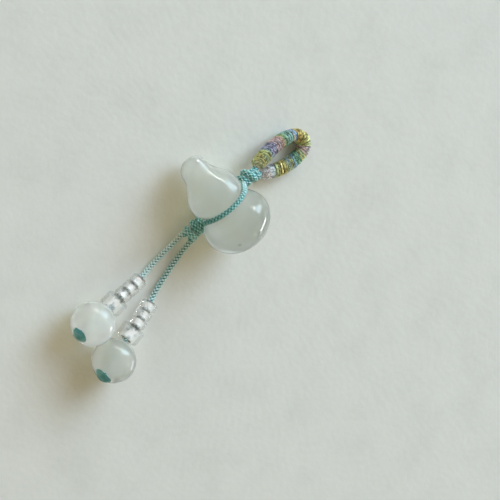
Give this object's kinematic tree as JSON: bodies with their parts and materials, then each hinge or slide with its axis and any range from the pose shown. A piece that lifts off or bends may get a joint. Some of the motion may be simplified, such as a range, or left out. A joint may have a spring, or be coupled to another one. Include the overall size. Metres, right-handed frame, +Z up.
{
  "type": "jade gourd pendant",
  "caption": "Small gourd carved in pale jade, tied at its waist with teal cord, with a thread-wound hanging loop and cord legs that end in glass and jade beads.",
  "frame": {"origin": "centre of the bottom of the pendant's box as it lies on a table", "axes": "+Y toward the hanging loop and -Y toward the beads, +X toward the gourd's base and -X toward its stem, +Z up from the table"},
  "size_m": [0.0218, 0.0593, 0.0128],
  "materials": {
    "jade": "polished",
    "teal_cord": "satin",
    "metallic_thread": "gloss",
    "clear_glass": "gloss",
    "melted_cord": "gloss"
  },
  "bodies": {
    "root": {"gourd": "jade", "waist_cord_front": "teal_cord", "waist_cord_back": "teal_cord", "upper_knot": "teal_cord", "lower_knot": "teal_cord", "hanging_loop": "metallic_thread", "leg_cord_left": "teal_cord", "leg_cord_right": "teal_cord", "seed_bead_left_1": "clear_glass", "seed_bead_left_2": "clear_glass", "seed_bead_left_3": "clear_glass", "glass_bead_left": "clear_glass", "jade_bead_left": "jade", "end_cap_left": "melted_cord", "seed_bead_right_1": "clear_glass", "seed_bead_right_2": "clear_glass", "seed_bead_right_3": "clear_glass", "glass_bead_right": "clear_glass", "jade_bead_right": "jade", "end_cap_right": "melted_cord"}
  },
  "joints": []
}
